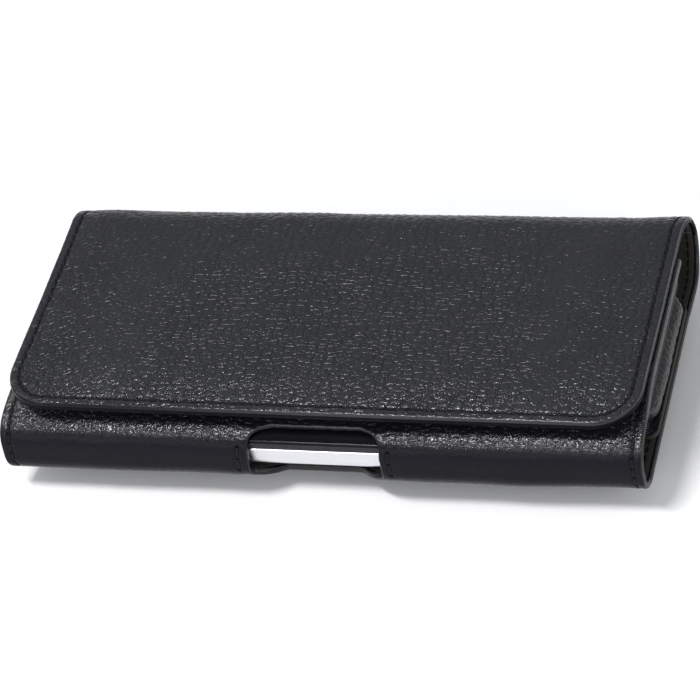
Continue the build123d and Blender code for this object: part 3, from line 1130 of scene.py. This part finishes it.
def make_flap(grain, edge, flesh, cloth, thread):
    body_rows = np.concatenate([[-0.6, -0.25, 0.0], steps(0.4, flap_end - flap_corner - 0.4, 0.4)])
    straight = flap_end - flap_corner - 1.0
    under = tongue_patch(under_inset, steps(0.4, straight, 1.5), 3.0, COARSE_STEPS)
    shell = sheet_solid(
        "flap_leather", tongue_patch(0.0, body_rows, 0.45), flap_place, flap_thickness, flap_margin,
        flap_relief, under=under, grain=flap_grain, seams=flap_seams, hide=mirrored,
    )
    dress(shell, "leather_grain", grain, edge, flesh)
    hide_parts("flap_leather", "spine_leather")
    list(on_spine(bend_high, bend_low))
    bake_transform(shell)

    sheet = tongue_patch(lining_inset, steps(0.0, straight, 0.7), 1.6, COARSE_STEPS)
    lining = make_lining("flap_lining", sheet, flap_place, flap_thickness, cloth)
    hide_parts("flap_lining", "spine_lining")
    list(on_spine(bend_high, bend_low))
    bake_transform(lining)

    inside = across(flap_path, flap_shape, inward=True)
    level, behind = outer_level(flap_margin, flap_relief, flap_grain), inner_level(flap_thickness)
    stitches = sew(
        "flap_thread", [(flap_seams, flap_place, level), (flap_seams, inside, behind)], thread,
    )
    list(on_spine(bend_high, bend_low))
    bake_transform(stitches)


# ---- gussets
def make_gusset(name, side, grain, raw):
    """One end's gusset: a folded strip whose web bellies outward between its two flanges."""
    flange, low_z, high_z = 3.4, 2.75, 10.3
    low_foot, high_foot = 13.6, 11.2  # where the slanted lower edge starts on each flange
    tall, corner = 36, 2.2  # rough height, which grades the mesh, and the corners' radius
    belly_height = 3.7
    outer = gusset_high.x / MM
    section = Path(
        side, (side * (outer - 0.6), high_z), (side * (outer - flange), high_z, 0.9),
        (side * (outer - flange), low_z, 0.9), (side * outer, low_z),
    )

    def place(a, s, h):
        point, normal = section.at(a)
        at = point + normal * np.asarray(h)[..., None]
        lower = wrap_path.at(wrap_rim - (mouth - np.asarray(s)))[0][..., 1] - front_top - 0.4
        share = (at[..., 1] - low_z) / (high_z - low_z)
        z = at[..., 1] + lower * share
        return np.stack([at[..., 0], np.asarray(s, float), z], -1)

    def hide(points):
        return points + [90.0, -52.0]

    half = section.length / 2
    a_steps = both_edges(half, 0.45, EDGE_STEPS[:8]) + half
    level = section.at(a_steps)[0][:, 1]
    foot = high_foot + (low_foot - high_foot) * fade(-level, -high_z, -low_z)
    rows = []
    for share in both_edges(0.5, 0.014, EDGE_STEPS[:8] / tall) + 0.5:
        pull = rounding(min(share, 1 - share) * tall, corner)
        a_row = half + (a_steps - half) * (1 - pull / half)
        rows.append(np.stack([a_row, foot + (mouth - foot) * share], -1))
    patch = grid_patch(np.array(rows))
    edge_line = patch[0][patch[2][0]]
    onward = np.roll(edge_line, -1, 0) - edge_line
    dense = np.concatenate([edge_line + onward * f for f in (0, 0.5)])

    def margin(points):
        return on_edge(distance_to(points, dense, np.ones(len(points), bool)))

    def relief(points, reach, w, strength):
        across_web = (points[:, 0] - flange + 1.4) / (section.length - 2 * flange + 2.8)
        web = np.sin(np.clip(across_web, 0, 1) * math.pi) ** 0.6
        belly = belly_height * web * fade(reach, 0, 5.5)
        wave = 0.2 * lattice_noise(points, (5, 9), 8) * fade(reach, 0, 4)
        domes = (grain_heights(hide(points)) - mean_dome) * strength * fade(reach, 0, 1.5)
        return belly + wave + domes

    def thickness(points):
        return leather + 0.6 * (1 - fade(points[:, 0], 2.0, 4.5))

    body = sheet_solid(
        name, patch, place, thickness, margin, relief, round_top=0.25, round_low=0.2,
        swell=0.02, band=0.12, hide=hide,
    )
    dress(body, "leather_grain", grain, raw, raw)
    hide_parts(name)
    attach(body, "pocket")


# ---- belt loop
def make_loop(grain, edge, raw, thread):
    length = loop_path.length
    patch = grid_patch(np.stack(np.meshgrid(
        both_edges(half_loop, 0.6, EDGE_STEPS[:12]),
        both_edges(length / 2, 0.6, EDGE_STEPS[:12]) + length / 2,
    ), -1))
    place = across(loop_path)

    def hide(points):
        return points + [0.0, -54.0]

    def margin(points):
        ends = np.minimum(points[:, 1], length - points[:, 1])
        return on_edge(np.minimum(half_loop - abs(points[:, 0]), ends))

    def strength_at(points, reach):
        return 0.35 + 0.65 * fade(reach, 0.5, 3.5)

    def relief(points, reach, w, strength):
        worn = grain_heights(hide(points)) - 0.13
        return worn * strength - 0.2 * np.exp(-((w / seam_dip) ** 2)) * (w < 5)

    foot = 1.9
    half = half_loop - seam_margin
    seams = Seams(*(Path(1, (-half, s), (half, s)) for s in (foot, length - foot)))
    body = sheet_solid(
        "belt_loop", patch, place, 1.8, margin, relief, grain=strength_at, seams=seams,
        round_top=0.5, round_low=0.4, swell=0.08, hide=hide,
    )
    dress(body, "leather_grain", grain, edge, raw)
    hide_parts("belt_loop")
    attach(body, "pocket")

    level = outer_level(margin, relief, strength_at)
    stitches = sew("belt_loop_thread", [(seams, place, level)], thread)
    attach(stitches, "pocket")


# ---- handset
def slab(name, levels, low, high, half, corner, slot, material):
    """A rounded plate from (inset, z) levels, lowest first, with a fine rounded outline."""
    outline = rounded([((half, high), corner), ((-half, high), corner), ((-half, low), corner),
                       ((half, low), corner)], 0.6)
    middle = np.array([0.0, (low + high) / 2])
    out = outward(outline)
    count = len(outline)
    points = [np.column_stack([outline - out * inset, np.full(count, z)]) for inset, z in levels]
    rings = np.arange(len(levels) * count).reshape(len(levels), count)
    faces = [bands(rings, flip=True)]
    for ring, z in ((rings[0], levels[0][1]), (rings[-1][::-1], levels[-1][1])):
        centre = sum(len(p) for p in points)
        points.append(np.array([[*middle, z]]))
        faces.append(np.stack([np.roll(ring, -1), ring, np.full(count, centre)], -1))
    body = make_object(name, np.concatenate(points), faces, [np.zeros(len(f)) for f in faces])
    dress(body, slot, material)
    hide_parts(name)
    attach(body, "handset")


def round_levels(low_z, high_z, low_r, high_r):
    """Levels of a plate whose lower and upper edges are rounded."""
    turns = np.radians(steps(0, 90, 7.5))
    lower = [(low_r * (1 - math.sin(t)), low_z + low_r * (1 - math.cos(t))) for t in turns]
    upper = [(high_r * (1 - math.cos(t)), high_z - high_r * (1 - math.sin(t))) for t in turns]
    return [(low_r + 0.4, low_z)] + lower + upper + [(high_r + 0.4, high_z)]


def make_handset():
    """The handset's three layers, a little nearer to the notch than in the CAD."""
    low, back = 1.75, (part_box("handset_shell")[0].z - pocket_low.z) / MM
    top = section_y(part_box("handset_shell")[1].y)
    metal = simple_finish(
        "brushed_metal", (0.66, 0.66, 0.69), (0.8, 0.8, 0.83), 900.0, 0.34, metal=1.0,
        relief=0.004, stretch=(0.05, 1, 1))
    plastic = simple_finish(
        "bezel_plastic", (0.018, 0.0175, 0.023), (0.028, 0.027, 0.034), 700.0, 0.3, relief=0.005,
        shine=0.15)
    glass = simple_finish(
        "cover_glass", (0.006, 0.006, 0.008), (0.01, 0.01, 0.012), 40.0, 0.1, shine=0.35)
    half, corner = 61.0, 8.0
    # name, slot, material, inset from the shell's outline, lower and upper level, their roundings
    layers = (
        ("handset_shell", "handset_metal", metal, 0.0, (0.0, 5.45), (2.3, 0.25)),
        ("handset_bezel", "handset_plastic", plastic, 0.3, (5.5, 6.7), (0.12, 0.16)),
        ("handset_glass", "handset_glass", glass, 0.75, (6.7, 7.3), (0.1, 0.2)),
    )
    for name, slot, material, inset, (z_low, z_high), radii in layers:
        levels = round_levels(back + z_low, back + z_high, *radii)
        slab(name, levels, low + inset, top - inset, half - inset, corner - inset, slot, material)


# ---- pieces kept from the CAD
def finish_nodes():
    """Materials for the boards, magnets and keeper plates, which stay as they are in the CAD."""
    nickel = simple_finish("nickel", (0.55, 0.54, 0.5), (0.68, 0.66, 0.62), 500.0, 0.25, 1.0, 0.003)
    steel = simple_finish("steel", (0.4, 0.4, 0.41), (0.52, 0.52, 0.53), 700.0, 0.4, 1.0, 0.006)
    fibre = simple_finish(
        "fibreboard", (0.16, 0.12, 0.08), (0.28, 0.22, 0.15), 1800.0, 0.85, 0.0, 0.04)
    looks = {
        "back_board": fibre, "front_board": fibre, "flap_board": fibre,
        "flap_magnet_left": nickel, "flap_magnet_right": nickel,
        "keeper_plate_left": steel, "keeper_plate_right": steel,
    }
    for name, material in looks.items():
        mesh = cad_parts[name].data
        mesh.materials.clear()
        mesh.materials.append(material)


def main():
    studio()
    grain, edge, raw = leather_finish(), edge_finish(), raw_edge_finish()
    cloth, thread = lining_finish(), thread_finish()
    make_wrap(grain, edge, raw, cloth)
    make_pocket_threads(thread)
    make_flap(grain, edge, raw, cloth, thread)
    make_gusset("gusset_left", -1, grain, raw)
    make_gusset("gusset_right", 1, grain, raw)
    make_loop(grain, edge, raw, thread)
    make_handset()
    finish_nodes()


main()
